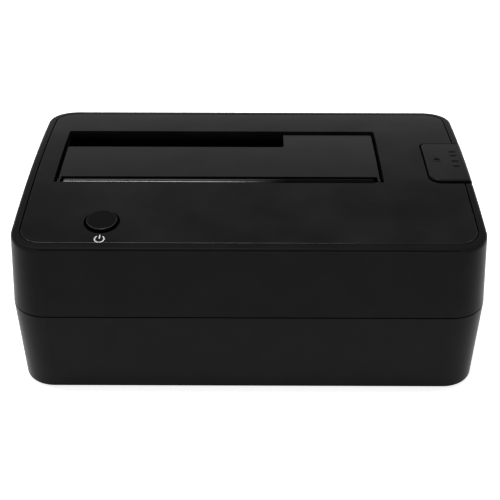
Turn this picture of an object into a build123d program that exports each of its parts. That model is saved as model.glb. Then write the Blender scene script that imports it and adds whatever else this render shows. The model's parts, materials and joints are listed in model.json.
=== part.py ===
from build123d import *
import math
import os

# A desktop docking station for one 3.5 inch or 2.5 inch drive. Millimetres, +Z up, +X to the
# right as seen from the front, +Y to the back. The origin is under the middle, on the surface
# that the feet stand on.

# Body form
foot_stand = 0.6
lower_height = 27.8
crown_rise = 26.4
seam_width = 143.4
seam_depth = 91.4
seam_radius = 11.0
upper_draft = 4.3
lower_draft = 1.9
crown_radius = 304.0
wall = 2.0
floor_thickness = 2.0
rim_fillet = 1.4
bottom_fillet = 0.5
seam_gap = 0.4
lip_inset = 1.05
lip_height = 2.0
lip_gap = 0.12
overrun = 1.0

# Top panel
rim_width = 2.6
panel_radius = 6.6
panel_gap = 0.3
panel_thickness = 1.6
deck_thickness = 1.6
panel_fillet = 0.3

# Drive slot and well
slot_left_margin = 6.35
slot_back_margin = 16.55
slot_tab_margin = 14.55
slot_front_margin = 30.3
small_slot_width = 72.4
small_slot_depth = 10.95
slot_corner = 0.8
well_wall = 1.5
well_floor_top = 14.1
well_floor = 1.6
well_top_gap = 0.2
guide_rib_width = 1.6
guide_rib_depth = 0.45
guide_rib_shares = (0.42, 0.78)
guide_rib_foot = 5.5
guide_rib_drop = 3.6
socket_window_gap = 0.5
well_ear = 8.0
well_ear_thickness = 2.6
well_ear_drop = 8.0
well_ear_shares = (0.36, 0.84)

# Dust flap
flap_recess = 0.8
flap_thickness = 1.8
flap_side_gap = 1.05
flap_back_gap = 1.1
flap_corner = 1.0
flap_groove = 1.75
flap_web = 1.0
barrel_radius = 1.4
barrel_sink = 0.15
barrel_front_gap = 0.45
flap_arm = 0.7
flap_notch = 1.3
flap_rib_width = 1.2
flap_rib_height = 0.8
flap_rib_inset = 3.0
flap_rib_shares = (0.3, 0.55)
pin_seat = 3.0
flap_pin_radius = 0.6
pin_fit = 0.02
running_fit = 0.05
flap_spring_radius = 1.0
flap_spring_bore = 0.7
flap_spring_length = 6.0
flap_spring_share = 0.86
pocket_gap = 0.05

# Power button, its switch and their guide
button_inset_x = 23.85
button_inset_y = 9.95
button_hole_radius = 5.4
button_radius = 4.55
button_proud = 1.0
button_edge = 0.4
button_flange_radius = 6.2
button_flange = 1.0
button_travel = 1.2
stem_radius = 2.4
stem_gap = 0.15
guide_radius = 8.0
guide_depth = 10.0
pocket_clearance = 0.3
switch_size = 8.4
switch_height = 7.0
switch_chamfer = 0.7
switch_well_depth = 2.4
plunger_size = 3.2
plunger_height = 4.5
plunger_chamfer = 0.3

# Eject tab, lever and pivot
tab_reach = 13.35
tab_length = 24.1
tab_centre_share = 0.03
tab_proud = 0.25
tab_thickness = 1.8
tab_gap = 0.6
tab_front_gap = 1.7
tab_front_radius = 3.4
tab_back_radius = 1.6
tab_fillet = 0.5
tab_travel = 3.5
skirt_depth = 4.5
skirt_thickness = 1.5
guard_gap = 0.4
guide_wall = 1.2
tub_floor = 1.5
spring_space = 9.0
tab_stem_inset = 5.1
tab_stem_radius = 2.5
rest_gap = 0.3
leg_width = 4.0
leg_thickness = 1.2
leg_hook = 0.7
leg_inset = 2.2
eject_spring_outer = 4.0
eject_spring_inner = 3.0
spring_end_gap = 0.05
pivot_inset = 3.875
pivot_z = 9.2
pivot_radius = 1.5
hub_radius = 3.0
lever_thickness = 2.6
lever_bottom = 9.4
lever_width = 6.4
lever_nose = 1.6
lever_nose_length = 4.0
lever_tip_gap = 7.2
lever_end = 3.0
lever_corner = 1.5
pillar_width = 8.0
pillar_thickness = 3.4
pillar_gap = 0.3

# Board and what it carries
standoff_height = 3.5
board_thickness = 1.6
board_left_inset = 15.2
board_pivot_gap = 11.0
board_front_inset = 6.7
board_back_inset = 4.7
board_corner = 2.0
board_hole_inset = 4.0
standoff_radius = 2.6
board_screw_radius = 1.2
board_screw_head = 2.2
board_screw_head_height = 1.4
board_screw_length = 4.6
connector_width = 42.0
connector_depth = 5.6
connector_stand = 5.5
connector_inset_x = 13.2
connector_inset_y = 5.0
connector_slot_depth = 6.0
connector_slot_width = 2.3
signal_slot = 10.6
power_slot = 20.6
connector_web = 2.4
connector_chamfer = 0.6
signal_ways = 7
power_ways = 15
contact_pitch = 1.27
contact_width = 0.6
contact_thickness = 0.35
contact_length = 5.4
contact_drop = 0.6
usb_share = 0.413
usb_width = 12.0
usb_height = 11.4
usb_depth = 16.5
usb_shell = 0.5
usb_corner = 1.2
usb_tongue_width = 5.6
usb_tongue_height = 3.4
usb_tongue_upper_width = 4.6
usb_tongue_upper_height = 1.9
usb_tongue_recess = 1.5
usb_step_share = 0.667
usb_tongue_share = 0.333
usb_tongue_upper_share = 0.79
usb_upper_inset = 1.2
usb_back = 3.0
jack_share = 0.82
jack_width = 9.4
jack_height = 11.0
jack_depth = 14.0
jack_chamfer = 1.2
jack_nose = 2.6
jack_nose_radius = 4.2
jack_bore = 3.1
jack_bore_depth = 9.5
jack_pin_radius = 1.0
jack_pin_recess = 0.8
port_gap = 0.3
port_recess = 0.4
chip_size = 10.0
chip_height = 1.4
chip_chamfer = 0.3
chip_shares = (0.50, 0.20)
memory_size = (5.0, 6.0)
memory_height = 1.5
memory_shares = (0.30, 0.34)
crystal_size = (5.0, 3.2)
crystal_height = 1.2
crystal_corner = 0.3
crystal_shares = (0.44, 0.36)
inductor_size = 7.2
inductor_height = 4.0
inductor_corner = 1.4
inductor_shares = (0.72, 0.20)
capacitor_radius = 3.2
capacitor_height = 7.4
capacitor_top = 0.5
capacitor_shares = ((0.66, 0.06), (0.78, 0.06), (0.90, 0.22))

# Fasteners, bosses, feet and vents
case_boss_inset = 9.2
case_boss_radius = 3.6
case_boss_foot_radius = 4.8
case_joint_drop = 6.0
case_screw_radius = 1.45
case_screw_head = 2.8
case_screw_head_height = 2.0
case_screw_reach = 9.0
counterbore_radius = 3.1
counterbore_depth = 6.0
screw_clearance = 0.06
shank_clearance = 0.25
well_boss_radius = 3.0
well_screw_radius = 1.15
well_screw_head = 2.2
well_screw_head_height = 1.4
well_screw_reach = 5.0
drive_recess_share = 0.5
foot_radius = 5.5
foot_sink = 0.8
foot_fit = 0.1
foot_inset_x = 23.0
foot_inset_y = 12.5
vent_count = 7
vent_width = 2.0
vent_length = 26.0
vent_pitch = 5.0
vent_corner = 0.98
vent_centre_share = 0.12

# Heights and places that follow from the sizes above
seam_z = foot_stand + lower_height
apex_z = seam_z + crown_rise
crown_axis_z = apex_z - crown_radius


def crown_z(y, depth=0):
    """Height of the crowned top, or of a face a given depth under it, at a place along Y."""
    return crown_axis_z + math.sqrt((crown_radius - depth) ** 2 - y**2)


edge_z = crown_z(seam_depth / 2)
top_inset = (edge_z - seam_z) * math.tan(math.radians(upper_draft))
top_width = seam_width - 2 * top_inset
top_depth = seam_depth - 2 * top_inset
panel_width = top_width - 2 * rim_width
panel_depth = top_depth - 2 * rim_width
deck_under = panel_thickness + deck_thickness

tab_left = top_width / 2 - tab_reach
slot_left = -panel_width / 2 + slot_left_margin
slot_right = tab_left - slot_tab_margin
slot_back = panel_depth / 2 - slot_back_margin
slot_front = -panel_depth / 2 + slot_front_margin
slot_width = slot_right - slot_left
slot_depth = slot_back - slot_front
slot_x = (slot_left + slot_right) / 2
slot_y = (slot_front + slot_back) / 2
small_right = slot_left + small_slot_width
small_front = slot_back - small_slot_depth

hinge_y = slot_front + barrel_front_gap + barrel_radius
hinge_z = crown_z(hinge_y) - barrel_sink - barrel_radius
flap_front = hinge_y + barrel_radius + flap_groove
flap_back = slot_back - flap_back_gap
flap_left = slot_left + flap_side_gap
flap_right = slot_right - flap_side_gap
barrel_left = flap_left + flap_arm + flap_notch
barrel_right = flap_right - flap_arm - flap_notch

button_x = -panel_width / 2 + button_inset_x
button_y = -panel_depth / 2 + button_inset_y

tab_centre_y = tab_centre_share * top_depth
tab_front = tab_centre_y - tab_length / 2
tab_back = tab_centre_y + tab_length / 2
tab_under = crown_z(tab_centre_y) + tab_proud - tab_thickness
stem_x = tab_left + tab_stem_inset
skirt_inner = top_width / 2 - skirt_thickness
guard_outer = skirt_inner - guard_gap
tub_top = tab_under - spring_space

connector_x = slot_left + connector_inset_x + connector_width / 2
connector_y = slot_back - connector_inset_y
connector_top = well_floor_top + connector_stand

well_floor_bottom = well_floor_top - well_floor
pivot_x = slot_right - pivot_inset
lever_tip_x = connector_x + connector_width / 2 + lever_tip_gap
lever_top = lever_bottom + lever_thickness
lever_back = tab_centre_y + lever_width / 2
lever_back_arm = connector_y

shell_floor = foot_stand + floor_thickness
board_bottom = shell_floor + standoff_height
board_top = board_bottom + board_thickness
board_left = -seam_width / 2 + board_left_inset
board_right = pivot_x - board_pivot_gap
board_front = -seam_depth / 2 + board_front_inset
board_back = seam_depth / 2 - board_back_inset
board_width = board_right - board_left
board_depth = board_back - board_front
usb_x = board_left + usb_share * board_width
jack_x = board_left + jack_share * board_width
case_joint_z = seam_z - case_joint_drop
case_boss_x = seam_width / 2 - case_boss_inset
case_boss_y = seam_depth / 2 - case_boss_inset
case_boss_places = [(i * case_boss_x, j * case_boss_y) for i in (-1, 1) for j in (-1, 1)]


def box_between(x0, x1, y0, y1, z0, z1):
    """A block from its six limits."""
    centre = ((x0 + x1) / 2, (y0 + y1) / 2, (z0 + z1) / 2)
    return Pos(*centre) * Box(x1 - x0, y1 - y0, z1 - z0)


def post(x, y, z0, z1, radius):
    """An upright cylinder from z0 to z1."""
    return Pos(x, y, (z0 + z1) / 2) * Cylinder(radius, z1 - z0)


def rod_x(x0, x1, y, z, radius):
    """A cylinder lying along X."""
    return Pos((x0 + x1) / 2, y, z) * Rot(0, 90, 0) * Cylinder(radius, x1 - x0)


def rod_y(x, y0, y1, z, radius):
    """A cylinder lying along Y."""
    return Pos(x, (y0 + y1) / 2, z) * Rot(90, 0, 0) * Cylinder(radius, y1 - y0)


def rounded_prism(width, depth, radius, x, y, z0, z1):
    """An upright prism with rounded corners."""
    outline = Plane.XY.offset(z0) * Pos(x, y) * RectangleRounded(width, depth, radius)
    return extrude(outline, amount=z1 - z0)


def drafted_block(inset, z_wide, height, draft, upward):
    """The body's outline at the seam, less an inset, drafted inwards away from the seam."""
    width = seam_width - 2 * inset
    depth = seam_depth - 2 * inset
    plane = Plane(origin=(0, 0, z_wide), z_dir=(0, 0, 1 if upward else -1))
    outline = plane * RectangleRounded(width, depth, seam_radius - inset)
    return extrude(outline, amount=height, taper=draft)


def crown_body(depth):
    """The big cylinder whose top is the crowned face, or a face a given depth under it."""
    half = seam_width / 2 + overrun
    return rod_x(-half, half, 0, crown_axis_z, crown_radius - depth)


def crowned(solid, depth=0):
    """The part of a solid that lies under the crowned face."""
    return solid & crown_body(depth)


def hollow_post(x, y, z0, z1, outer, inner):
    """A tube standing on end."""
    return post(x, y, z0, z1, outer) - post(x, y, z0 - overrun, z1 + overrun, inner)


def upper_form(lift=0):
    """The upper shell's outer form, solid inside, with its rounded rim."""
    height = crown_rise + overrun
    form = crowned(drafted_block(0, seam_z + seam_gap / 2, height, upper_draft, True))
    crown_face = form.faces().sort_by(Axis.Z)[-1]
    form = fillet(crown_face.edges(), rim_fillet)
    return Pos(0, 0, lift) * form


def tab_outline(gap, front_gap):
    """Outline of the eject tab seen from above, grown by a gap, open past the outer edge."""
    left = tab_left - gap
    right = seam_width / 2 + overrun
    front = tab_front - front_gap
    back = tab_back + gap
    corners = [(left, front), (right, front), (right, back), (left, back)]
    outline = make_face(Polyline(*corners, close=True))
    front_corner = outline.vertices().sort_by_distance((left, front))[0]
    outline = fillet(front_corner, tab_front_radius + gap)
    back_corner = outline.vertices().sort_by_distance((left, back))[0]
    return fillet(back_corner, tab_back_radius + gap)


def tab_prism(gap, front_gap, z0, z1):
    """The tab's outline as an upright prism."""
    return extrude(Plane.XY.offset(z0) * tab_outline(gap, front_gap), amount=z1 - z0)


def slot_prism(gap, z0, z1):
    """The slot's footprint as an upright prism."""
    width = slot_width + 2 * gap
    depth = slot_depth + 2 * gap
    return rounded_prism(width, depth, slot_corner + gap, slot_x, slot_y, z0, z1)


def case_bosses_upper():
    """Four bosses that hang from the deck and take the case screws."""
    bosses = None
    for x, y in case_boss_places:
        top = crown_z(y, deck_under) + deck_thickness / 2
        boss = post(x, y, case_joint_z, top, case_boss_radius)
        pilot_top = case_joint_z + case_screw_reach + overrun
        boss -= post(x, y, case_joint_z - overrun, pilot_top, case_screw_radius + screw_clearance)
        bosses = boss if bosses is None else bosses + boss
    return bosses


def well_ear_places():
    """Centres of the four ears that carry the well, two in front and two behind."""
    front = slot_front - well_wall - well_ear / 2
    back = slot_back + well_wall + well_ear / 2
    return [(slot_left + share * slot_width, y) for share in well_ear_shares for y in (front, back)]


def well_bosses():
    """Four short bosses under the deck that the well is screwed to."""
    bosses = None
    low = apex_z - deck_under - well_ear_drop
    for x, y in well_ear_places():
        top = crown_z(y, deck_under)
        boss = post(x, y, low, top + deck_thickness / 2, well_boss_radius)
        boss -= post(x, y, low - overrun, top, well_screw_radius + screw_clearance)
        bosses = boss if bosses is None else bosses + boss
    return bosses


def button_guide():
    """The stepped boss that guides the power button under the deck."""
    low = crown_z(button_y, panel_thickness) - guide_depth
    return crowned(post(button_x, button_y, low, apex_z, guide_radius), deck_under - deck_thickness / 2)


def flange_bottom():
    """Height of the button flange's flat underside; its top follows the panel's underside."""
    front = button_y - button_flange_radius
    return crown_z(front, panel_thickness + pocket_clearance) - button_flange


def button_bore():
    """The stepped hole that the button's flange and stem run in."""
    top = crown_z(button_y)
    pocket_radius = button_flange_radius + pocket_clearance
    pocket_floor = flange_bottom() - button_travel - pocket_clearance
    pocket = post(button_x, button_y, pocket_floor, top, pocket_radius)
    bore = post(button_x, button_y, top - guide_depth - 2 * overrun, top, stem_radius + stem_gap)
    return pocket + bore


def eject_tub():
    """The open box under the tab that guides it and carries its spring."""
    left = tab_left - tab_gap
    front = tab_front - tab_gap
    back = tab_back + tab_gap
    bottom = tub_top - tub_floor
    top = crown_z(tab_back + tab_gap, deck_under) + deck_thickness / 2
    outer = box_between(left - guide_wall, guard_outer, front - guide_wall, back + guide_wall, bottom, top)
    inner = box_between(left, guard_outer - guide_wall, front, back, tub_top, apex_z)
    guard_top = tab_under - tab_travel - rest_gap
    over_guard = box_between(left, seam_width, front, back, guard_top, apex_z)
    tub = outer - inner - over_guard
    tub -= post(stem_x, tab_centre_y, bottom - overrun, tub_top + overrun, tab_stem_radius + stem_gap)
    for y in (tab_front + leg_inset, tab_back - leg_inset):
        y0 = y - leg_thickness / 2 - rest_gap
        y1 = y + leg_thickness / 2 + rest_gap
        x0 = stem_x - leg_width / 2 - rest_gap
        x1 = stem_x + leg_width / 2 + rest_gap
        tub -= box_between(x0, x1, y0, y1, bottom - overrun, tub_top + overrun)
    return tub


def pin_seats():
    """Room for the two ends of the flap's pin, half in the deck and half in the panel."""
    radius = flap_pin_radius + pin_fit
    reach = pin_seat + rest_gap
    left = rod_x(slot_left - reach, slot_left + overrun, hinge_y, hinge_z, radius)
    right = rod_x(slot_right - overrun, slot_right + reach, hinge_y, hinge_z, radius)
    return left + right


def make_upper_shell():
    """Drafted walls, rim, deck under the panel, bosses, button guide, tab guide and pin seats."""
    low = seam_z + seam_gap / 2
    shell = upper_form()
    shell -= crowned(drafted_block(wall, low, crown_rise, upper_draft, True), deck_under)
    shell -= drafted_block(lip_inset - lip_gap, low, lip_height + lip_gap, upper_draft, True)
    recess = rounded_prism(panel_width, panel_depth, panel_radius, 0, 0, seam_z, apex_z + overrun)
    shell -= recess - crown_body(panel_thickness)
    shell += case_bosses_upper()
    shell += well_bosses()
    shell += button_guide()
    shell -= button_bore()
    shell -= slot_prism(0, seam_z, apex_z + overrun)
    notch_z = tab_under - skirt_depth - tab_travel
    shell -= tab_prism(tab_gap, tab_front_gap, notch_z, apex_z + overrun)
    shell += eject_tub()
    return shell - pin_seats()


def make_top_panel():
    """The glossy crowned panel with its slot, button hole and tab cut-out."""
    width = panel_width - 2 * panel_gap
    depth = panel_depth - 2 * panel_gap
    block = rounded_prism(width, depth, panel_radius - panel_gap, 0, 0, seam_z, apex_z + overrun)
    panel = crowned(block)
    crown_face = panel.faces().sort_by(Axis.Z)[-1]
    panel = fillet(crown_face.edges(), panel_fillet)
    panel -= crown_body(panel_thickness)
    panel -= slot_prism(0, seam_z, apex_z + overrun)
    panel -= post(button_x, button_y, seam_z, apex_z + overrun, button_hole_radius)
    panel -= tab_prism(tab_gap, tab_front_gap, seam_z, apex_z + overrun)
    return panel - pin_seats()


def pillar_places():
    """Front faces of the two pillars that hold the ejector's pin."""
    front = lever_back - lever_width - pillar_gap - pillar_thickness
    back = lever_back_arm + lever_width / 2 + pillar_gap
    return front, back


def pivot_pillars():
    """The two pillars on the floor that hold the ejector's pin."""
    pillars = None
    top = well_floor_bottom - rest_gap
    for y in pillar_places():
        x0 = pivot_x - pillar_width / 2
        pillar = box_between(x0, x0 + pillar_width, y, y + pillar_thickness, foot_stand + overrun, top)
        pillar -= rod_y(pivot_x, y - overrun, y + pillar_thickness + overrun, pivot_z, pivot_radius + pin_fit)
        pillars = pillar if pillars is None else pillars + pillar
    return pillars


def board_hole_places():
    """Centres of the four holes in the board."""
    xs = (board_left + board_hole_inset, board_right - board_hole_inset)
    ys = (board_front + board_hole_inset, board_back - board_hole_inset)
    return [(x, y) for x in xs for y in ys]


def foot_places():
    """Centres of the four feet."""
    x = seam_width / 2 - foot_inset_x
    y = seam_depth / 2 - foot_inset_y
    return [(i * x, j * y) for i in (-1, 1) for j in (-1, 1)]


def port_openings():
    """Holes through the rear wall for the data socket and the power inlet."""
    y0 = seam_depth / 2 - wall - 2 * overrun
    y1 = seam_depth / 2 + overrun
    width = usb_width + 2 * port_gap
    usb = box_between(usb_x - width / 2, usb_x + width / 2, y0, y1, board_top - port_gap,
                      board_top + usb_height + port_gap)
    usb = fillet(usb.edges().filter_by(Axis.Y), usb_corner)
    jack_z = board_top + jack_height / 2
    jack = rod_y(jack_x, y0, y1, jack_z, jack_nose_radius + port_gap)
    return usb + jack


def make_lower_shell():
    """Drafted tray with its lip, bosses, standoffs, pivot pillars, ports, vents and foot recesses."""
    top = seam_z - seam_gap / 2
    shell = drafted_block(0, top, top - foot_stand, lower_draft, False)
    low_face = shell.faces().sort_by(Axis.Z)[0]
    shell = fillet(low_face.edges(), bottom_fillet)
    shell -= drafted_block(wall, top, top - shell_floor, lower_draft, False)
    lip = drafted_block(lip_inset, top - overrun, lip_height + overrun, upper_draft, True)
    lip -= drafted_block(wall, top - 2 * overrun, lip_height + 4 * overrun, upper_draft, True)
    shell += lip
    for x, y in case_boss_places:
        shell += post(x, y, shell_floor - overrun, case_joint_z, case_boss_foot_radius)
    for x, y in case_boss_places:
        shell -= post(x, y, 0, foot_stand + counterbore_depth, counterbore_radius)
        shell -= post(x, y, 0, case_joint_z + overrun, case_screw_radius + shank_clearance)
    for x, y in board_hole_places():
        shell += hollow_post(x, y, shell_floor - overrun, board_bottom, standoff_radius,
                             board_screw_radius + screw_clearance)
    shell += pivot_pillars()
    shell -= port_openings()
    for x, y in foot_places():
        shell -= post(x, y, 0, foot_stand + foot_sink, foot_radius + foot_fit)
    for i in range(vent_count):
        x = (i - (vent_count - 1) / 2) * vent_pitch
        y = vent_centre_share * seam_depth
        shell -= rounded_prism(vent_width, vent_length, vent_corner, x, -y, 0, shell_floor + overrun)
    return shell


def make_drive_well():
    """The open-topped box that guides the drive down onto the connector."""
    top = apex_z
    outer = rounded_prism(slot_width + 2 * well_wall, slot_depth + 2 * well_wall, slot_corner + well_wall,
                          slot_x, slot_y, well_floor_bottom, top)
    well = crowned(outer, deck_under + well_top_gap)
    well -= slot_prism(0, well_floor_top, top + overrun)
    ear_top = apex_z - deck_under - well_ear_drop
    for x, y in well_ear_places():
        half = well_ear / 2
        ear = box_between(x - half, x + half, y - half, y + half, ear_top - well_ear_thickness, ear_top)
        ear -= post(x, y, ear_top - well_ear_thickness - overrun, ear_top + overrun,
                    well_screw_radius + shank_clearance)
        well += ear
    for share in guide_rib_shares:
        y = slot_front + share * slot_depth
        low = connector_top + guide_rib_foot
        high = crown_z(y, deck_under) - guide_rib_drop
        for x, side in ((slot_left, 1), (slot_right, -1)):
            rib = box_between(min(x, x + side * guide_rib_depth), max(x, x + side * guide_rib_depth),
                              y - guide_rib_width / 2, y + guide_rib_width / 2, low, high)
            well += rib
    gap = socket_window_gap
    well -= box_between(connector_x - connector_width / 2 - gap, connector_x + connector_width / 2 + gap,
                        connector_y - connector_depth / 2 - gap, connector_y + connector_depth / 2 + gap,
                        well_floor_bottom - overrun, well_floor_top + overrun)
    arm = lever_width / 2 + 2 * gap
    well -= box_between(lever_tip_x - 2 * gap, pivot_x - hub_radius + gap, lever_back_arm - arm,
                        lever_back_arm + arm, well_floor_bottom - overrun, well_floor_top + overrun)
    return well


def flap_plate():
    """The crowned L-shaped plate of the flap."""
    outline = rounded_prism(flap_right - flap_left, flap_back - flap_front, flap_corner,
                            (flap_left + flap_right) / 2, (flap_front + flap_back) / 2, seam_z, apex_z)
    notch = rounded_prism(small_right - flap_left + 2 * flap_corner, small_slot_depth, flap_corner,
                          (small_right + flap_left) / 2 - flap_corner, small_front + small_slot_depth / 2,
                          seam_z - overrun, apex_z + overrun)
    plate = crowned(outline - notch, flap_recess)
    return plate - crown_body(flap_recess + flap_thickness)


def flap_arms(low):
    """The two narrow arms that carry the plate's ends forward to the pin."""
    arms = None
    for x in (flap_left, flap_right - flap_arm):
        strip = crowned(box_between(x, x + flap_arm, hinge_y, flap_front + overrun, low, apex_z), flap_recess)
        arm = strip + rod_x(x, x + flap_arm, hinge_y, hinge_z, barrel_radius)
        arms = arm if arms is None else arms + arm
    return arms


def flap_ribs():
    """Low stiffening ribs along the underside of the plate."""
    ribs = None
    for share in flap_rib_shares:
        y = flap_front + share * (flap_back - flap_front)
        under = crown_z(y, flap_recess + flap_thickness)
        rib = box_between(flap_left + flap_rib_inset, flap_right - flap_rib_inset, y - flap_rib_width / 2,
                          y + flap_rib_width / 2, under - flap_rib_height, under + flap_rib_height)
        ribs = rib if ribs is None else ribs + rib
    return ribs


def make_dust_flap():
    """The flap's plate, its hinge barrel and arms, and the web that joins them under the groove."""
    barrel = rod_x(barrel_left, barrel_right, hinge_y, hinge_z, barrel_radius)
    web_top = crown_z(flap_front, flap_recess + flap_thickness) + flap_web
    web = box_between(barrel_left, barrel_right, hinge_y, flap_front + overrun, web_top - flap_web, web_top)
    flap = flap_plate() + barrel + web + flap_arms(web_top - flap_web) + flap_ribs()
    flap -= rod_x(flap_left - overrun, flap_right + overrun, hinge_y, hinge_z,
                  flap_pin_radius + running_fit)
    spring_x = barrel_left + flap_spring_share * (barrel_right - barrel_left)
    half = flap_spring_length / 2 + rest_gap
    room = flap_spring_radius + pocket_gap
    flap -= rod_x(spring_x - half, spring_x + half, hinge_y, hinge_z, room)
    flap -= box_between(spring_x - half, spring_x + half, hinge_y - room, hinge_y + room,
                        hinge_z - 2 * barrel_radius, hinge_z)
    return flap


def make_flap_pin():
    """The steel pin that the flap turns on; its ends lie between the deck and the panel."""
    return rod_x(slot_left - pin_seat, slot_right + pin_seat, hinge_y, hinge_z, flap_pin_radius)


def make_flap_spring():
    """The torsion spring in the barrel's pocket, as a plain sleeve round the pin."""
    spring_x = barrel_left + flap_spring_share * (barrel_right - barrel_left)
    x0 = spring_x - flap_spring_length / 2
    x1 = spring_x + flap_spring_length / 2
    sleeve = rod_x(x0, x1, hinge_y, hinge_z, flap_spring_radius)
    return sleeve - rod_x(x0 - overrun, x1 + overrun, hinge_y, hinge_z, flap_spring_bore)


def make_power_button():
    """Crowned button cap, flange that keeps it in, and the stem down to the switch."""
    top = apex_z + button_proud
    cap = crowned(post(button_x, button_y, flange_bottom(), top, button_radius), -button_proud)
    cap = fillet(cap.faces().sort_by(Axis.Z)[-1].edges(), button_edge)
    flange = post(button_x, button_y, flange_bottom(), top, button_flange_radius)
    flange = crowned(flange, panel_thickness + pocket_clearance)
    stem_low = board_top + switch_height + plunger_height + pocket_gap
    stem = post(button_x, button_y, stem_low, flange_bottom() + button_flange / 2, stem_radius)
    return cap + flange + stem


def make_power_switch():
    """The push switch's body on the board."""
    half = switch_size / 2
    top = board_top + switch_height
    body = box_between(button_x - half, button_x + half, button_y - half, button_y + half, board_top, top)
    hole = plunger_size / 2 + running_fit
    well = box_between(button_x - hole, button_x + hole, button_y - hole, button_y + hole,
                       top - switch_well_depth, top + overrun)
    return chamfer(body.edges().filter_by(Axis.Z), switch_chamfer) - well


def make_switch_plunger():
    """The switch's square plunger, which the button's stem presses."""
    half = plunger_size / 2
    top = board_top + switch_height
    low = top - button_travel + pocket_gap
    plunger = box_between(button_x - half, button_x + half, button_y - half, button_y + half,
                          low, top + plunger_height)
    return chamfer(plunger.faces().sort_by(Axis.Z)[-1].edges(), plunger_chamfer)


def make_eject_tab():
    """The tab's crowned top and skirt, its stem down to the lever and two snap legs."""
    low = tab_under - tab_travel - spring_space
    form = upper_form(tab_proud) & tab_prism(0, 0, low, apex_z + 2 * overrun)
    top_edges = form.faces().sort_by(Axis.Z)[-1].edges().sort_by(Axis.X)[:-1]
    form = fillet(top_edges, tab_fillet)
    skirt_low = tab_under - skirt_depth
    tab = form - box_between(0, seam_width, -seam_depth, seam_depth, low - overrun, skirt_low)
    tab -= box_between(0, skirt_inner, -seam_depth, seam_depth, skirt_low - overrun, tab_under)
    tip = lever_top + rest_gap + tab_stem_radius
    tab += post(stem_x, tab_centre_y, tip, tab_under + overrun, tab_stem_radius)
    tab += Pos(stem_x, tab_centre_y, tip) * Sphere(tab_stem_radius)
    bottom = tub_top - tub_floor
    hook_top = bottom - rest_gap
    for y, side in ((tab_front + leg_inset, -1), (tab_back - leg_inset, 1)):
        x0 = stem_x - leg_width / 2
        x1 = stem_x + leg_width / 2
        y0 = y - leg_thickness / 2
        y1 = y + leg_thickness / 2
        hook_low = hook_top - leg_thickness
        tab += box_between(x0, x1, y0, y1, hook_low, tab_under + overrun)
        edge = y1 if side > 0 else y0
        reach = edge + side * (leg_hook + rest_gap)
        tab += box_between(x0, x1, min(edge, reach) - pin_fit, max(edge, reach), hook_low, hook_top)
    return tab


def make_eject_spring():
    """The tab's return spring, as a plain sleeve round its stem."""
    return hollow_post(stem_x, tab_centre_y, tub_top + spring_end_gap, tab_under - spring_end_gap,
                       eject_spring_outer, eject_spring_inner)


def make_ejector_lever():
    """A see-saw: the front arm lies under the tab's stem, the back arm under the drive's edge."""
    front = lever_back - lever_width
    hub = rod_y(pivot_x, front, lever_back_arm + lever_width / 2, pivot_z, hub_radius)
    y0 = lever_back_arm - lever_width / 2
    y1 = lever_back_arm + lever_width / 2
    back_arm = box_between(lever_tip_x, pivot_x, y0, y1, lever_bottom, lever_top)
    nose_x1 = lever_tip_x + lever_nose_length
    nose = box_between(lever_tip_x, nose_x1, y0, y1, lever_bottom, lever_top + lever_nose)
    nose = chamfer(nose.faces().sort_by(Axis.Z)[-1].edges().filter_by(Axis.Y), lever_nose / 2)
    front_arm = box_between(pivot_x, stem_x + lever_end, front, lever_back, lever_bottom, lever_top)
    front_arm = fillet(front_arm.edges().filter_by(Axis.Z).group_by(Axis.X)[-1], lever_corner)
    lever = hub + back_arm + nose + front_arm
    return lever - rod_y(pivot_x, front - overrun, y1 + overrun, pivot_z, pivot_radius + running_fit)


def make_ejector_pin():
    """The steel pin that the lever turns on."""
    front, back = pillar_places()
    return rod_y(pivot_x, front, back + pillar_thickness, pivot_z, pivot_radius)


def make_main_board():
    """The printed circuit board with its four screw holes."""
    board = rounded_prism(board_width, board_depth, board_corner, (board_left + board_right) / 2,
                          (board_front + board_back) / 2, board_bottom, board_top)
    for x, y in board_hole_places():
        board -= post(x, y, 0, apex_z, board_screw_radius + shank_clearance)
    return board


def connector_slots():
    """X limits of the signal slot and the power slot, from the left."""
    total = signal_slot + connector_web + power_slot
    left = connector_x - total / 2
    signal = (left, left + signal_slot)
    power = (signal[1] + connector_web, signal[1] + connector_web + power_slot)
    return signal, power


def make_drive_connector():
    """The upright 22-way connector housing with its two slots and end shoulders."""
    x0 = connector_x - connector_width / 2
    y0 = connector_y - connector_depth / 2
    body = box_between(x0, x0 + connector_width, y0, y0 + connector_depth, board_top, connector_top)
    body = chamfer(body.faces().sort_by(Axis.Z)[-1].edges(), connector_chamfer)
    for left, right in connector_slots():
        half = connector_slot_width / 2
        body -= box_between(left, right, connector_y - half, connector_y + half,
                            connector_top - connector_slot_depth, connector_top + overrun)
    return body


def make_connector_contacts():
    """Seven signal and fifteen power contacts, along the back of the two slots."""
    contacts = []
    y1 = connector_y + connector_slot_width / 2
    z1 = connector_top - contact_drop
    for ways, (left, right) in zip((signal_ways, power_ways), connector_slots()):
        first = (left + right) / 2 - (ways - 1) / 2 * contact_pitch
        for i in range(ways):
            x = first + i * contact_pitch
            contacts.append(box_between(x - contact_width / 2, x + contact_width / 2,
                                        y1 - contact_thickness, y1, z1 - contact_length, z1))
    return Compound(children=contacts)


def rear_face(z):
    """Y of the lower shell's outer rear face at a height."""
    return seam_depth / 2 - (seam_z - seam_gap / 2 - z) * math.tan(math.radians(lower_draft))


def make_data_socket():
    """The folded steel shell of the data socket: two stacked apertures, as this socket type has."""
    y1 = rear_face(board_top) - port_recess
    y0 = y1 - usb_depth
    shell = box_between(usb_x - usb_width / 2, usb_x + usb_width / 2, y0, y1, board_top,
                        board_top + usb_height)
    shell = fillet(shell.edges().filter_by(Axis.Y), usb_corner)
    return shell - socket_cavity(y0 + usb_shell, y1 + overrun)


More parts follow.
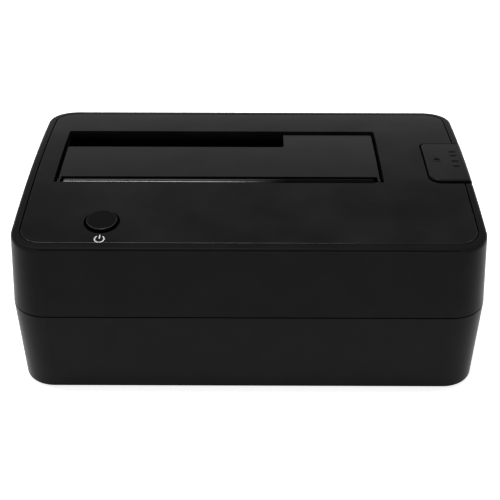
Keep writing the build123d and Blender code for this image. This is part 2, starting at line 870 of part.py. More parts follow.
def socket_cavity(y0, y1):
    """The socket's mouth: a wide lower part and a narrower upper part."""
    half = usb_width / 2 - usb_shell
    step = board_top + usb_step_share * usb_height
    lower = box_between(usb_x - half, usb_x + half, y0, y1, board_top + usb_shell, step)
    upper_half = half - usb_upper_inset
    upper = box_between(usb_x - upper_half, usb_x + upper_half, y0, y1, step - usb_shell,
                        board_top + usb_height - usb_shell)
    return lower + upper


def make_data_socket_tongue():
    """The socket's insulating block and its two tongues."""
    y1 = rear_face(board_top) - port_recess
    y0 = y1 - usb_depth + usb_shell
    block = socket_cavity(y0, y0 + usb_back)
    tip = y1 - usb_tongue_recess
    low = board_top + usb_tongue_share * usb_height - usb_tongue_height / 2
    tongue = box_between(usb_x - usb_tongue_width / 2, usb_x + usb_tongue_width / 2, y0, tip,
                         low, low + usb_tongue_height)
    high = board_top + usb_tongue_upper_share * usb_height
    upper = box_between(usb_x - usb_tongue_upper_width / 2, usb_x + usb_tongue_upper_width / 2, y0, tip,
                        high - usb_tongue_upper_height / 2, high + usb_tongue_upper_height / 2)
    return block + tongue + upper


def make_power_inlet():
    """The barrel inlet's housing with its round nose and bore."""
    y2 = rear_face(board_top) - port_recess
    y1 = y2 - jack_nose
    y0 = y2 - jack_depth
    z = board_top + jack_height / 2
    body = box_between(jack_x - jack_width / 2, jack_x + jack_width / 2, y0, y1, board_top,
                       board_top + jack_height)
    body = chamfer(body.edges().filter_by(Axis.Y).group_by(Axis.Z)[-1], jack_chamfer)
    body += rod_y(jack_x, y0 + overrun, y2, z, jack_nose_radius)
    return body - rod_y(jack_x, y2 - jack_bore_depth, y2 + overrun, z, jack_bore)


def make_inlet_pin():
    """The inlet's round-nosed centre pin."""
    y2 = rear_face(board_top) - port_recess
    z = board_top + jack_height / 2
    pin = rod_y(jack_x, y2 - jack_bore_depth, y2 - jack_pin_recess, z, jack_pin_radius)
    return fillet(pin.edges().sort_by(Axis.Y)[-1], jack_pin_radius / 2)


def on_board(shares):
    """A place on the board from shares of its width and depth."""
    return board_left + shares[0] * board_width, board_front + shares[1] * board_depth


def board_block(shares, width, depth, height):
    """A rectangular component standing on the board."""
    x, y = on_board(shares)
    return box_between(x - width / 2, x + width / 2, y - depth / 2, y + depth / 2, board_top,
                       board_top + height)


def make_bridge_chip():
    """The bridge controller chip."""
    chip = board_block(chip_shares, chip_size, chip_size, chip_height)
    return chamfer(chip.faces().sort_by(Axis.Z)[-1].edges(), chip_chamfer)


def make_memory_chip():
    """The small firmware memory chip."""
    chip = board_block(memory_shares, memory_size[0], memory_size[1], memory_height)
    return chamfer(chip.faces().sort_by(Axis.Z)[-1].edges(), chip_chamfer)


def make_crystal():
    """The clock crystal's can."""
    can = board_block(crystal_shares, crystal_size[0], crystal_size[1], crystal_height)
    return fillet(can.edges().filter_by(Axis.Z), crystal_corner)


def make_inductor():
    """The power inductor, an octagonal block."""
    block = board_block(inductor_shares, inductor_size, inductor_size, inductor_height)
    return chamfer(block.edges().filter_by(Axis.Z), inductor_corner)


def make_capacitors():
    """The electrolytic capacitors."""
    cans = []
    for shares in capacitor_shares:
        x, y = on_board(shares)
        can = post(x, y, board_top, board_top + capacitor_height, capacitor_radius)
        cans.append(fillet(can.edges().sort_by(Axis.Z)[-1], capacitor_top))
    return Compound(children=cans)


def screw(x, y, head_z, upward, shank_radius, length, head_radius, head_height):
    """A pan-head screw: the head's inner face is at head_z and the shank runs the way given."""
    sign = 1 if upward else -1
    tip = head_z + sign * length
    back = head_z - sign * head_height
    shank = post(x, y, min(head_z, tip), max(head_z, tip), shank_radius)
    head = post(x, y, min(head_z, back), max(head_z, back), head_radius)
    outer = head.edges().sort_by(Axis.Z)[0 if upward else -1]
    head = fillet(outer, head_height / 2)
    recess_top = back + sign * head_height * drive_recess_share
    for width, depth in ((head_radius, shank_radius / 2), (shank_radius / 2, head_radius)):
        recess = box_between(x - width / 2, x + width / 2, y - depth / 2, y + depth / 2,
                             min(recess_top, back - sign * overrun), max(recess_top, back - sign * overrun))
        head -= recess
    return head + shank


def make_board_screws():
    """Four screws that hold the board to its standoffs."""
    screws = [screw(x, y, board_top, False, board_screw_radius, board_screw_length, board_screw_head,
                    board_screw_head_height) for x, y in board_hole_places()]
    return Compound(children=screws)


def make_well_screws():
    """Four screws that hold the well to the deck, put in from below."""
    z = apex_z - deck_under - well_ear_drop - well_ear_thickness
    length = well_ear_thickness + well_screw_reach
    screws = [screw(x, y, z, True, well_screw_radius, length, well_screw_head, well_screw_head_height)
              for x, y in well_ear_places()]
    return Compound(children=screws)


def make_case_screws():
    """Four long screws that join the shells, sunk in the floor."""
    z = foot_stand + counterbore_depth
    length = case_joint_z - z + case_screw_reach
    screws = [screw(x, y, z, True, case_screw_radius, length, case_screw_head, case_screw_head_height)
              for x, y in case_boss_places]
    return Compound(children=screws)


def make_feet():
    """Four round rubber feet set in the floor's recesses."""
    feet = []
    for x, y in foot_places():
        foot = post(x, y, 0, foot_stand + foot_sink, foot_radius)
        feet.append(fillet(foot.edges().sort_by(Axis.Z)[0], foot_stand / 2))
    return Compound(children=feet)


NODES = {
    "lower_shell": make_lower_shell,
    "upper_shell": make_upper_shell,
    "top_panel": make_top_panel,
    "drive_well": make_drive_well,
    "dust_flap": make_dust_flap,
    "flap_pin": make_flap_pin,
    "flap_spring": make_flap_spring,
    "power_button": make_power_button,
    "power_switch": make_power_switch,
    "switch_plunger": make_switch_plunger,
    "eject_tab": make_eject_tab,
    "eject_spring": make_eject_spring,
    "ejector_lever": make_ejector_lever,
    "ejector_pin": make_ejector_pin,
    "main_board": make_main_board,
    "drive_connector": make_drive_connector,
    "connector_contacts": make_connector_contacts,
    "data_socket": make_data_socket,
    "data_socket_tongue": make_data_socket_tongue,
    "power_inlet": make_power_inlet,
    "inlet_pin": make_inlet_pin,
    "bridge_chip": make_bridge_chip,
    "memory_chip": make_memory_chip,
    "crystal": make_crystal,
    "inductor": make_inductor,
    "capacitors": make_capacitors,
    "board_screws": make_board_screws,
    "well_screws": make_well_screws,
    "case_screws": make_case_screws,
    "rubber_feet": make_feet,
}

os.makedirs("parts", exist_ok=True)
for name, make in NODES.items():
    export_step(make(), os.path.join("parts", name + ".step"))
    print(name, "written")
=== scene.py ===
import json
import math

import bmesh
import bpy
from mathutils import Matrix, Vector
from mathutils.bvhtree import BVHTree


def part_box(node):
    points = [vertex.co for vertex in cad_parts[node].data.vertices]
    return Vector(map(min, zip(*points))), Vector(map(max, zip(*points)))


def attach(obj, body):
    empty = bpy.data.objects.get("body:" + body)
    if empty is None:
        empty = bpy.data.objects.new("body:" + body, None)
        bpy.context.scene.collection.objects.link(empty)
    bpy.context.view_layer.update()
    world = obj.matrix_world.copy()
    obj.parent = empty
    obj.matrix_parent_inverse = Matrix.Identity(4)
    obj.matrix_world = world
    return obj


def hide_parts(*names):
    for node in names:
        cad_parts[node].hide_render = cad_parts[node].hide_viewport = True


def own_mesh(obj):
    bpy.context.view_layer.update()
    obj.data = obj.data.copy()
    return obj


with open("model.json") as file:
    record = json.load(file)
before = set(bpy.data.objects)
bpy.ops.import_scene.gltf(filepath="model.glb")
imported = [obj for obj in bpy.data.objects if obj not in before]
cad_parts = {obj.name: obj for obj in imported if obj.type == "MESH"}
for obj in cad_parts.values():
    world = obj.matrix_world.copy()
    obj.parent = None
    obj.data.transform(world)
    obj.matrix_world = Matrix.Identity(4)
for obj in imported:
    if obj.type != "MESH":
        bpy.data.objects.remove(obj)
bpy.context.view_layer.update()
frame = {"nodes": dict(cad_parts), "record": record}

MM = 0.001

# Camera
LENS_PIXELS = 1046.5
IMAGE_PIXELS = 500
SENSOR = 36.0
CLIP = (0.01, 50)
CAMERA_PLACE = (0.87 * MM, -292.43 * MM, 219.81 * MM)
CAMERA_PITCH = math.radians(34.09)
CAMERA_YAW = math.radians(-0.12)
CAMERA_ROLL = math.radians(-0.11)


def place_object(name, data):
    """A new object in the scene."""
    made = bpy.data.objects.new(name, data)
    bpy.context.scene.collection.objects.link(made)
    return made


def make_camera():
    """Looks down on the front of the object, as the photograph does."""
    sin_p, cos_p = math.sin(CAMERA_PITCH), math.cos(CAMERA_PITCH)
    sin_y, cos_y = math.sin(CAMERA_YAW), math.cos(CAMERA_YAW)
    forward = Vector((sin_y * cos_p, cos_y * cos_p, -sin_p))
    right = Vector((cos_y, -sin_y, 0))
    down = forward.cross(right)
    c, s = math.cos(CAMERA_ROLL), math.sin(CAMERA_ROLL)
    rolled_right = c * right + s * down
    rolled_down = c * down - s * right
    turn = Matrix((rolled_right, -rolled_down, -forward)).transposed()
    data = bpy.data.cameras.new("camera")
    data.sensor_width = SENSOR
    data.lens = LENS_PIXELS * SENSOR / IMAGE_PIXELS
    data.clip_start, data.clip_end = CLIP
    camera = place_object("camera", data)
    camera.matrix_world = Matrix.Translation(CAMERA_PLACE) @ turn.to_4x4()
    bpy.context.scene.camera = camera


# Light and stage: a lamp's row gives its name, place, width and depth in metres, and watts
WHITE = (1, 1, 1, 1)
WORLD_SHOWN = 1.0
WORLD_FILL = 0.15
FLOOR_HALF = 3.0
FLOOR_COLOUR = (0.86, 0.86, 0.86, 1)
FLOOR_GLOW = 0.82
LAMP_TARGET = (0, 0, 0.03)
LAMPS = [
    ("overhead_left", (-0.17, 0.02, 0.85), 0.06, 0.36, 2.4),
    ("overhead_middle", (-0.06, 0.02, 0.85), 0.06, 0.36, 2.6),
    ("left_softbox", (-0.52, 0.12, 0.78), 0.14, 0.14, 1.3),
    ("right_softbox", (0.52, 0.12, 0.78), 0.14, 0.14, 0.65),
    ("front_fill", (0.10, -1.30, 0.30), 0.80, 0.40, 2.8),
]


def combine(nodes, operation, first, second):
    """A math node on two sockets, or on a socket and a number."""
    node = nodes.new("ShaderNodeMath")
    node.operation = operation
    for socket, value in zip(node.inputs, (first, second)):
        if isinstance(value, float):
            socket.default_value = value
        else:
            nodes.id_data.links.new(value, socket)
    return node.outputs[0]


def seen_directly(nodes):
    """One for camera, glossy and transmission rays, and nought for the rays that only light."""
    rays = nodes.new("ShaderNodeLightPath").outputs
    seen = combine(nodes, "MAXIMUM", rays["Is Camera Ray"], rays["Is Glossy Ray"])
    return combine(nodes, "MAXIMUM", seen, rays["Is Transmission Ray"])


def white_background(nodes, strength):
    """A white background shader of a given strength."""
    node = nodes.new("ShaderNodeBackground")
    node.inputs["Color"].default_value = WHITE
    node.inputs["Strength"].default_value = strength
    return node.outputs[0]


def make_world():
    """White where it is seen, and a soft even fill where it only lights."""
    world = bpy.data.worlds.new("world")
    bpy.context.scene.world = world
    world.use_nodes = True
    nodes, links = world.node_tree.nodes, world.node_tree.links
    nodes.clear()
    mix = nodes.new("ShaderNodeMixShader")
    links.new(seen_directly(nodes), mix.inputs[0])
    links.new(white_background(nodes, WORLD_FILL), mix.inputs[1])
    links.new(white_background(nodes, WORLD_SHOWN), mix.inputs[2])
    links.new(mix.outputs[0], nodes.new("ShaderNodeOutputWorld").inputs[0])


def make_floor():
    """A plain pale floor that keeps a soft shadow."""
    mesh = bpy.data.meshes.new("floor")
    h = FLOOR_HALF
    mesh.from_pydata([(-h, -h, 0), (h, -h, 0), (h, h, 0), (-h, h, 0)], [], [(0, 1, 2, 3)])
    floor = place_object("floor", mesh)
    material = bpy.data.materials.new("floor")
    material.use_nodes = True
    nodes, links = material.node_tree.nodes, material.node_tree.links
    nodes.clear()
    diffuse = nodes.new("ShaderNodeBsdfDiffuse")
    diffuse.inputs["Color"].default_value = FLOOR_COLOUR
    glow = nodes.new("ShaderNodeEmission")
    glow.inputs["Color"].default_value = WHITE
    strength = combine(nodes, "MULTIPLY", seen_directly(nodes), FLOOR_GLOW)
    links.new(strength, glow.inputs["Strength"])
    add = nodes.new("ShaderNodeAddShader")
    links.new(diffuse.outputs[0], add.inputs[0])
    links.new(glow.outputs[0], add.inputs[1])
    links.new(add.outputs[0], nodes.new("ShaderNodeOutputMaterial").inputs[0])
    mesh.materials.append(material)


def make_lamps():
    """Soft lamps aimed at the object."""
    target = Vector(LAMP_TARGET)
    for name, place, width, depth, watts in LAMPS:
        data = bpy.data.lights.new(name, "AREA")
        data.shape = "RECTANGLE"
        data.size = width
        data.size_y = depth
        data.energy = watts
        lamp = place_object(name, data)
        lamp.location = place
        lamp.rotation_euler = (target - Vector(place)).to_track_quat("-Z", "Y").to_euler()


# Materials. A row gives the darkest and lightest colour, the lowest and highest roughness, the
# grain in cycles a metre and its height in mm, and then what departs from a plain plastic.
NOISE_RANGE = (0.3, 0.7)
SLOW_NOISE = (3.0, 0.55)
FINE_NOISE = (2.0, 0.6)
SLOW_SCALE = 90.0
PLAIN_SPECULAR = 0.5
MEAN = 0.5
METAL = {"metal": 1}
LOOKS = {
    "shell_plastic": ((0.0055, 0.0055, 0.006), (0.0075, 0.0075, 0.008), (0.30, 0.40),
                      5200, 0.012, {"specular": 0.055}),
    "rim_plastic": ((0.006, 0.006, 0.0064), (0.0075, 0.0075, 0.008), (0.34, 0.44),
                    5200, 0.012, {"specular": 0.02}),
    # Painted shade: the rim's round along the front gets a darker, less glossy copy of the
    # shell plastic.
    "front_round_painted_shade": ((0.004, 0.004, 0.0043), (0.005, 0.005, 0.0054), (0.40, 0.50),
                      5200, 0.012, {"specular": 0.012}),
    "well_plastic": ((0.0015, 0.0015, 0.0015), (0.0025, 0.0025, 0.0025), (0.5, 0.6),
                     4200, 0.012, {"specular": 0.01}),
    "panel_gloss": ((0.0075, 0.0075, 0.008), (0.0135, 0.0135, 0.014), (0.10, 0.18),
                    900, 0.0012, {"slow_scale": 45.0, "specular": 0.016}),
    # Painted highlight: a darker but glossier copy of the panel plastic, given only to the
    # front of the panel's rounded edge.
    "panel_front_edge_painted_highlight": ((0.006, 0.006, 0.0065), (0.008, 0.008, 0.0085), (0.08, 0.14),
                   900, 0.001, {"specular": 0.13}),
    "flap_gloss": ((0.011, 0.011, 0.0115), (0.0135, 0.0135, 0.014), (0.10, 0.17),
                   900, 0.0012, {"specular": 0.03}),
    # Painted shade and highlight: the hinge barrel is a darker copy of the flap plastic, and
    # its reflection is painted to fade along it.
    "barrel_painted_shade_and_highlight": ((0.003, 0.003, 0.0035), (0.004, 0.004, 0.0045), (0.06, 0.10),
                     900, 0.0006, {"specular": 0.25}),
    "button_gloss": ((0.002, 0.002, 0.0023), (0.003, 0.003, 0.0034), (0.10, 0.15),
                     900, 0.001, {"specular": 0.03}),
    "button_edge": ((0.001, 0.001, 0.0012), (0.002, 0.002, 0.0023), (0.08, 0.13),
                    900, 0.0006, {}),
    "tab_gloss": ((0.008, 0.008, 0.0085), (0.0105, 0.0105, 0.011), (0.16, 0.24),
                  1400, 0.0015, {"specular": 0.03}),
    "tab_edge": ((0.006, 0.006, 0.0065), (0.008, 0.008, 0.0085), (0.12, 0.20),
                 1400, 0.001, {"specular": 0.05}),
    "mark_ink": ((0.62, 0.62, 0.62), (0.72, 0.72, 0.72), (0.45, 0.6),
                 4000, 0.002, {"specular": 0.2}),
    # Painted shade: dark strokes that stand for the shade of the tab's embossed ribs and sign.
    "tab_painted_shade": ((0.003, 0.003, 0.003), (0.005, 0.005, 0.005), (0.5, 0.65),
                4000, 0.002, {"specular": 0.005}),
    "steel": ((0.52, 0.52, 0.53), (0.60, 0.60, 0.61), (0.22, 0.32), 3000, 0.002, METAL),
    "spring_steel": ((0.40, 0.39, 0.37), (0.50, 0.49, 0.47), (0.25, 0.36), 3000, 0.002, METAL),
    "switch_body": ((0.02, 0.02, 0.022), (0.03, 0.03, 0.033), (0.4, 0.5),
                    3000, 0.006, {"specular": 0.2}),
    "switch_plunger": ((0.70, 0.70, 0.67), (0.78, 0.78, 0.75), (0.35, 0.45), 2500, 0.004, {}),
    "lever_plastic": ((0.014, 0.014, 0.015), (0.022, 0.022, 0.023), (0.42, 0.55),
                      3600, 0.010, {"specular": 0.08}),
    "board": ((0.010, 0.075, 0.030), (0.014, 0.100, 0.040), (0.25, 0.35), 2200, 0.004, {}),
    "connector_plastic": ((0.012, 0.012, 0.013), (0.018, 0.018, 0.019), (0.4, 0.5),
                          3600, 0.006, {"specular": 0.12}),
    "contact_gold": ((0.74, 0.53, 0.20), (0.82, 0.60, 0.25), (0.18, 0.26), 3000, 0.001, METAL),
    "socket_steel": ((0.44, 0.44, 0.45), (0.52, 0.52, 0.53), (0.2, 0.3), 2600, 0.002, METAL),
    "socket_tongue": ((0.016, 0.10, 0.44), (0.022, 0.13, 0.55), (0.35, 0.45), 2600, 0.004, {}),
    "chip_plastic": ((0.016, 0.016, 0.016), (0.024, 0.024, 0.024), (0.5, 0.6),
                     4200, 0.006, {"specular": 0.2}),
    "can_steel": ((0.56, 0.56, 0.56), (0.64, 0.64, 0.64), (0.2, 0.3), 2600, 0.002, METAL),
    "can_aluminium": ((0.66, 0.66, 0.67), (0.74, 0.74, 0.75), (0.25, 0.35), 2600, 0.002, METAL),
    "screw_steel": ((0.50, 0.50, 0.51), (0.60, 0.60, 0.61), (0.25, 0.35), 2600, 0.002, METAL),
    "black_steel": ((0.010, 0.010, 0.010), (0.016, 0.016, 0.016), (0.35, 0.45),
                    2600, 0.003, {"specular": 0.03}),
    "foot_rubber": ((0.010, 0.010, 0.010), (0.016, 0.016, 0.016), (0.65, 0.8),
                    3600, 0.015, {}),
}


def noise(nodes, coordinates, scale, detail, rough):
    """A noise texture on the object's own coordinates, in metres."""
    texture = nodes.new("ShaderNodeTexNoise")
    texture.inputs["Scale"].default_value = scale
    texture.inputs["Detail"].default_value = detail
    texture.inputs["Roughness"].default_value = rough
    nodes.id_data.links.new(coordinates, texture.inputs["Vector"])
    return texture.outputs["Fac"]


def spread(nodes, value, reach, ends):
    """A map range node that takes a reach of values to two ends."""
    ramp = nodes.new("ShaderNodeMapRange")
    ramp.inputs["From Min"].default_value, ramp.inputs["From Max"].default_value = reach
    ramp.inputs["To Min"].default_value, ramp.inputs["To Max"].default_value = ends
    nodes.id_data.links.new(value, ramp.inputs["Value"])
    return ramp


def tint(nodes, value, dark, light):
    """A colour between dark and light, chosen by a value."""
    mix = nodes.new("ShaderNodeMix")
    mix.data_type = "RGBA"
    nodes.id_data.links.new(value, mix.inputs["Factor"])
    mix.inputs["A"].default_value = (*dark, 1)
    mix.inputs["B"].default_value = (*light, 1)
    return mix.outputs["Result"]


def surface(name, dark, light, rough, grain, bump_mm, slow_scale=SLOW_SCALE,
            specular=PLAIN_SPECULAR, metal=0):
    """A surface with slowly mottled colour, uneven gloss and a fine bumped grain."""
    material = bpy.data.materials.new(name)
    material.use_nodes = True
    nodes, links = material.node_tree.nodes, material.node_tree.links
    shader = nodes["Principled BSDF"]
    coordinates = nodes.new("ShaderNodeTexCoord").outputs["Object"]
    slow = noise(nodes, coordinates, slow_scale, *SLOW_NOISE)
    fine = noise(nodes, coordinates, grain, *FINE_NOISE)
    mottle = spread(nodes, slow, NOISE_RANGE, (0, 1)).outputs["Result"]
    links.new(tint(nodes, mottle, dark, light), shader.inputs["Base Color"])
    mean = combine(nodes, "MULTIPLY", combine(nodes, "ADD", slow, fine), MEAN)
    gloss = spread(nodes, mean, NOISE_RANGE, rough).outputs["Result"]
    links.new(gloss, shader.inputs["Roughness"])
    bump = nodes.new("ShaderNodeBump")
    bump.inputs["Strength"].default_value = 1
    bump.inputs["Distance"].default_value = bump_mm * MM
    links.new(fine, bump.inputs["Height"])
    links.new(bump.outputs["Normal"], shader.inputs["Normal"])
    shader.inputs["Metallic"].default_value = metal
    shader.inputs["Specular IOR Level"].default_value = specular
    return material


def make_materials():
    """One material for each slot of the record, and those of edges, rounds and marks."""
    made = {}
    for name, (dark, light, rough, grain, bump_mm, others) in LOOKS.items():
        made[name] = surface(name, dark, light, rough, grain, bump_mm, **others)
    return made


def dress_nodes(materials):
    """Gives every CAD node its slot's material."""
    for entry in frame["record"]["subparts"]:
        mesh = frame["nodes"][entry["node"]].data
        mesh.materials.clear()
        mesh.materials.append(materials[entry["material_slot"]])


# Places of the hinge barrel, the rounded edges and the rim, which follow the CAD. The bounds of
# the rounds are the upward parts of their faces' normals.
HINGE_Y = -9.225 * MM
HINGE_Z = 53.11 * MM
BARREL_RADIUS = 1.4 * MM
BARREL_ENDS = (-57.975 * MM, 39.025 * MM)
BARREL_FADE = (-14.0 * MM, 12.0 * MM)
HAIR = 0.05 * MM
TOP_FLOOR = 51.0 * MM
RIM_INSIDE = 68.2 * MM
RIM_CORNER = 58.0 * MM
ROUND_LOW = 0.12
ROUND_MIDDLE = 0.75
ROUND_HIGH = 0.98
RIM_SIDE = 0.2
RIM_TOP = 0.72
FRONTWARD = -0.1


def on_barrel(centre, normal):
    """Whether a face of the flap lies on its hinge barrel."""
    radius = math.hypot(centre.y - HINGE_Y, centre.z - HINGE_Z)
    left, right = BARREL_ENDS
    return radius < BARREL_RADIUS + HAIR and left - HAIR < centre.x < right + HAIR


def on_round(centre, normal):
    """Whether a face belongs to a rounded top edge."""
    high = centre.z > TOP_FLOOR and centre.x < RIM_INSIDE
    return high and ROUND_LOW < normal.z < ROUND_HIGH


def on_front_edge(centre, normal):
    """Whether a face belongs to the part of a rounded top edge that looks to the front."""
    return on_round(centre, normal) and normal.y < FRONTWARD


def on_lower_round(centre, normal):
    """Whether a face belongs to the steeper part of a rounded top edge."""
    return on_round(centre, normal) and normal.z < ROUND_MIDDLE


def on_rim(centre, normal):
    """Whether a face belongs to the rim round the panel, down to the start of its round."""
    return normal.z >= RIM_TOP and centre.z > TOP_FLOOR


def on_front_round(centre, normal):
    """Whether a face belongs to the rim's round along the front."""
    steep = RIM_SIDE < normal.z < RIM_TOP and centre.z > TOP_FLOOR
    return steep and normal.y < 0 and abs(centre.x) < RIM_CORNER


EDGE_AND_PAINTED_LOOKS = [
    ("dust_flap", "barrel_painted_shade_and_highlight", on_barrel),
    ("top_panel", "panel_front_edge_painted_highlight", on_front_edge),
    ("power_button", "button_edge", on_lower_round),
    ("eject_tab", "tab_edge", on_round),
    ("upper_shell", "rim_plastic", on_rim),
    ("upper_shell", "front_round_painted_shade", on_front_round),
]


def fade_barrel(material):
    """The hinge barrel's reflection is glossiest at its left and dulls to nothing at its right:
    a painted highlight for how the light falls along it.
    """
    nodes, links = material.node_tree.nodes, material.node_tree.links
    shine = nodes["Principled BSDF"].inputs["Specular IOR Level"]
    apart = nodes.new("ShaderNodeSeparateXYZ")
    links.new(nodes.new("ShaderNodeTexCoord").outputs["Object"], apart.inputs["Vector"])
    ramp = spread(nodes, apart.outputs["X"], BARREL_FADE, (shine.default_value, 0))
    ramp.interpolation_type = "SMOOTHSTEP"
    links.new(ramp.outputs["Result"], shine)


def polish_and_paint_edges(materials):
    """Gives the edges and the rim materials of their own, as they catch the light otherwise;
    some are painted highlight and painted shade.
    """
    for node, look, chosen in EDGE_AND_PAINTED_LOOKS:
        mesh = frame["nodes"][node].data
        mesh.materials.append(materials[look])
        for face in mesh.polygons:
            if chosen(face.center, face.normal):
                face.material_index = len(mesh.materials) - 1
    fade_barrel(materials["barrel_painted_shade_and_highlight"])


# Marks: the printed power sign, and dark strokes of painted shade on the tab
SYMBOL_PLACE = (-43.4 * MM, -39.38 * MM)
SYMBOL_RADIUS = 1.40 * MM
SYMBOL_GAP = math.radians(36)
SYMBOL_BAR = (0.1 * MM, 1.95 * MM)
SYMBOL_FILM = 0.015 * MM
FINE_STROKE = 0.34 * MM
TAB_FILM = 0.006 * MM
TAB_BAR_X = (64.9 * MM, 67.2 * MM)
TAB_BAR_ROWS = (8.7 * MM, 6.1 * MM, 2.4 * MM, -0.9 * MM)
TAB_BAR_WIDTH = 0.9 * MM
ARROW_X = 60.4 * MM
ARROW_Y = (2.9 * MM, 4.9 * MM)
ARROW_HALF = 1.35 * MM
ARROW_SHARES = (0.0, 0.2, 0.4, 0.6, 0.8, 0.97)
ARROW_BAR_Y = 1.95 * MM
ABOVE = 1
END_STEPS = 6
STROKE_STEPS = 8
ARC_STEPS = 56


def ground_of(node):
    """A function that gives the height of a node's top at a place."""
    mesh = frame["nodes"][node].data
    places = [vertex.co.copy() for vertex in mesh.vertices]
    tree = BVHTree.FromPolygons(places, [tuple(face.vertices) for face in mesh.polygons])
    down = Vector((0, 0, -1))
    return lambda x, y: tree.ray_cast(Vector((x, y, ABOVE)), down)[0].z


def strip(form, lefts, rights, ground, film):
    """A thin closed film between two lines of points, half over the surface and half in it."""
    rows = []
    for left, right in zip(lefts, rights):
        row = []
        for x, y in (left, right):
            z = ground(x, y)
            row.append(form.verts.new((x, y, z + film)))
            row.append(form.verts.new((x, y, z - film)))
        rows.append(row)
    for a, b in zip(rows, rows[1:]):
        form.faces.new((a[0], a[2], b[2], b[0]))
        form.faces.new((a[1], b[1], b[3], a[3]))
        form.faces.new((a[0], b[0], b[1], a[1]))
        form.faces.new((a[2], a[3], b[3], b[2]))
    for row in (rows[0], rows[-1]):
        form.faces.new((row[0], row[1], row[3], row[2]))
    bmesh.ops.recalc_face_normals(form, faces=form.faces[:])


def stroke(form, start, end, width, ground, film):
    """A straight stroke with round ends."""
    start, end = Vector(start), Vector(end)
    along = (end - start).normalized()
    side = Vector((-along.y, along.x))
    half = width / 2
    stations = []
    for i in range(1, END_STEPS + 1):
        turn = i / END_STEPS * math.pi / 2
        stations.append((start + along * half * (1 - math.cos(turn)), half * math.sin(turn)))
    straight = (end - start).length - width
    for i in range(1, STROKE_STEPS):
        stations.append((start + along * (half + straight * i / STROKE_STEPS), half))
    for i in range(END_STEPS, 0, -1):
        turn = i / END_STEPS * math.pi / 2
        stations.append((end - along * half * (1 - math.cos(turn)), half * math.sin(turn)))
    lefts = [tuple(place + side * reach) for place, reach in stations]
    rights = [tuple(place - side * reach) for place, reach in stations]
    strip(form, lefts, rights, ground, film)


def arc(form, centre, radius, width, first, last, ground, film):
    """A stroke along an arc."""
    turns = [first + (last - first) * i / ARC_STEPS for i in range(ARC_STEPS + 1)]
    inner, outer = (
        [(centre[0] + reach * math.cos(t), centre[1] + reach * math.sin(t)) for t in turns]
        for reach in (radius - width / 2, radius + width / 2)
    )
    strip(form, inner, outer, ground, film)


def piece(name, form, material, body):
    """Turns a form into a piece that rides on a body."""
    mesh = bpy.data.meshes.new(name)
    form.to_mesh(mesh)
    form.free()
    mesh.materials.append(material)
    made = place_object(name, mesh)
    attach(made, body)
    return made


def make_symbol(materials):
    """The generic sign for standby power, printed in front of the button."""
    ground = ground_of("top_panel")
    form = bmesh.new()
    first = math.pi / 2 + SYMBOL_GAP
    last = math.pi / 2 - SYMBOL_GAP + 2 * math.pi
    arc(form, SYMBOL_PLACE, SYMBOL_RADIUS, FINE_STROKE, first, last, ground, SYMBOL_FILM)
    x, y = SYMBOL_PLACE
    low, high = SYMBOL_BAR
    stroke(form, (x, y + low), (x, y + high), FINE_STROKE, ground, SYMBOL_FILM)
    piece("power_symbol", form, materials["mark_ink"], "base")


def make_tab_marks(materials):
    """Dark strokes for the grip ribs and the generic eject sign on the tab, painted shade in
    place of their embossing.
    """
    ground = ground_of("eject_tab")
    form = bmesh.new()
    left, right = TAB_BAR_X
    for y in TAB_BAR_ROWS:
        stroke(form, (left, y), (right, y), TAB_BAR_WIDTH, ground, TAB_FILM)
    low, high = ARROW_Y
    rows = [(ARROW_HALF * (1 - share), low + (high - low) * share) for share in ARROW_SHARES]
    lefts = [(ARROW_X - half, y) for half, y in rows]
    rights = [(ARROW_X + half, y) for half, y in rows]
    strip(form, lefts, rights, ground, TAB_FILM)
    left, right = ARROW_X - ARROW_HALF, ARROW_X + ARROW_HALF
    stroke(form, (left, ARROW_BAR_Y), (right, ARROW_BAR_Y), FINE_STROKE, ground, TAB_FILM)
    piece("tab_marks", form, materials["tab_painted_shade"], "eject_tab")


# Springs
FLAP_WIRE = 0.14 * MM
FLAP_TURNS = 15.5
EJECT_WIRE = 0.42 * MM
EJECT_TURNS = 5.5
WIRE_SIDES = 10
TURN_STEPS = 28


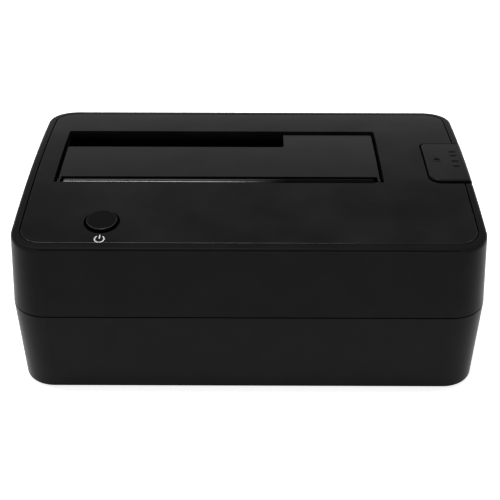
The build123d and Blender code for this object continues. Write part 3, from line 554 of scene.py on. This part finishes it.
def rise_of(turn, turns, height, wire):
    """How far along a spring lies after some turns; its end turns lie close."""
    close = 2 * wire
    if turn < 1:
        return close * turn
    if turn > turns - 1:
        return height - close * (turns - turn)
    return close + (height - 2 * close) * (turn - 1) / (turns - 2)


def make_coil(node, axis, wire, turns, material):
    """A wound spring in place of the plain sleeve that a node is."""
    low, high = (Vector(corner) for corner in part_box(node))
    middle = (low + high) / 2
    first, second = (axis + 1) % 3, (axis + 2) % 3
    radius = (high[first] - low[first]) / 2 - wire
    height = high[axis] - low[axis] - 2 * wire
    form = bmesh.new()
    rings = []
    for step in range(round(turns * TURN_STEPS) + 1):
        turn = step / TURN_STEPS
        angle = 2 * math.pi * turn
        place = low[axis] + wire + rise_of(turn, turns, height, wire)
        ring = []
        for side in range(WIRE_SIDES):
            round_angle = 2 * math.pi * side / WIRE_SIDES
            reach = radius + wire * math.cos(round_angle)
            spot = Vector((0, 0, 0))
            spot[axis] = place + wire * math.sin(round_angle)
            spot[first] = middle[first] + reach * math.cos(angle)
            spot[second] = middle[second] + reach * math.sin(angle)
            ring.append(form.verts.new(spot))
        rings.append(ring)
    for a, b in zip(rings, rings[1:]):
        for side in range(WIRE_SIDES):
            after = (side + 1) % WIRE_SIDES
            form.faces.new((a[side], a[after], b[after], b[side]))
    form.faces.new(rings[0])
    form.faces.new(rings[-1])
    bmesh.ops.recalc_face_normals(form, faces=form.faces[:])
    for face in form.faces:
        face.smooth = True
    made = piece(node + "_coil", form, material, "base")
    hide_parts(node)
    return made


def make_springs(materials):
    """The wound springs; the tab's spring gets a mesh of its own."""
    steel = materials["spring_steel"]
    make_coil("flap_spring", 0, FLAP_WIRE, FLAP_TURNS, steel)
    spring = make_coil("eject_spring", 2, EJECT_WIRE, EJECT_TURNS, steel)
    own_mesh(spring)


bpy.context.scene.view_settings.view_transform = "Standard"
make_camera()
make_world()
make_floor()
make_lamps()
materials = make_materials()
dress_nodes(materials)
polish_and_paint_edges(materials)
make_symbol(materials)
make_tab_marks(materials)
make_springs(materials)
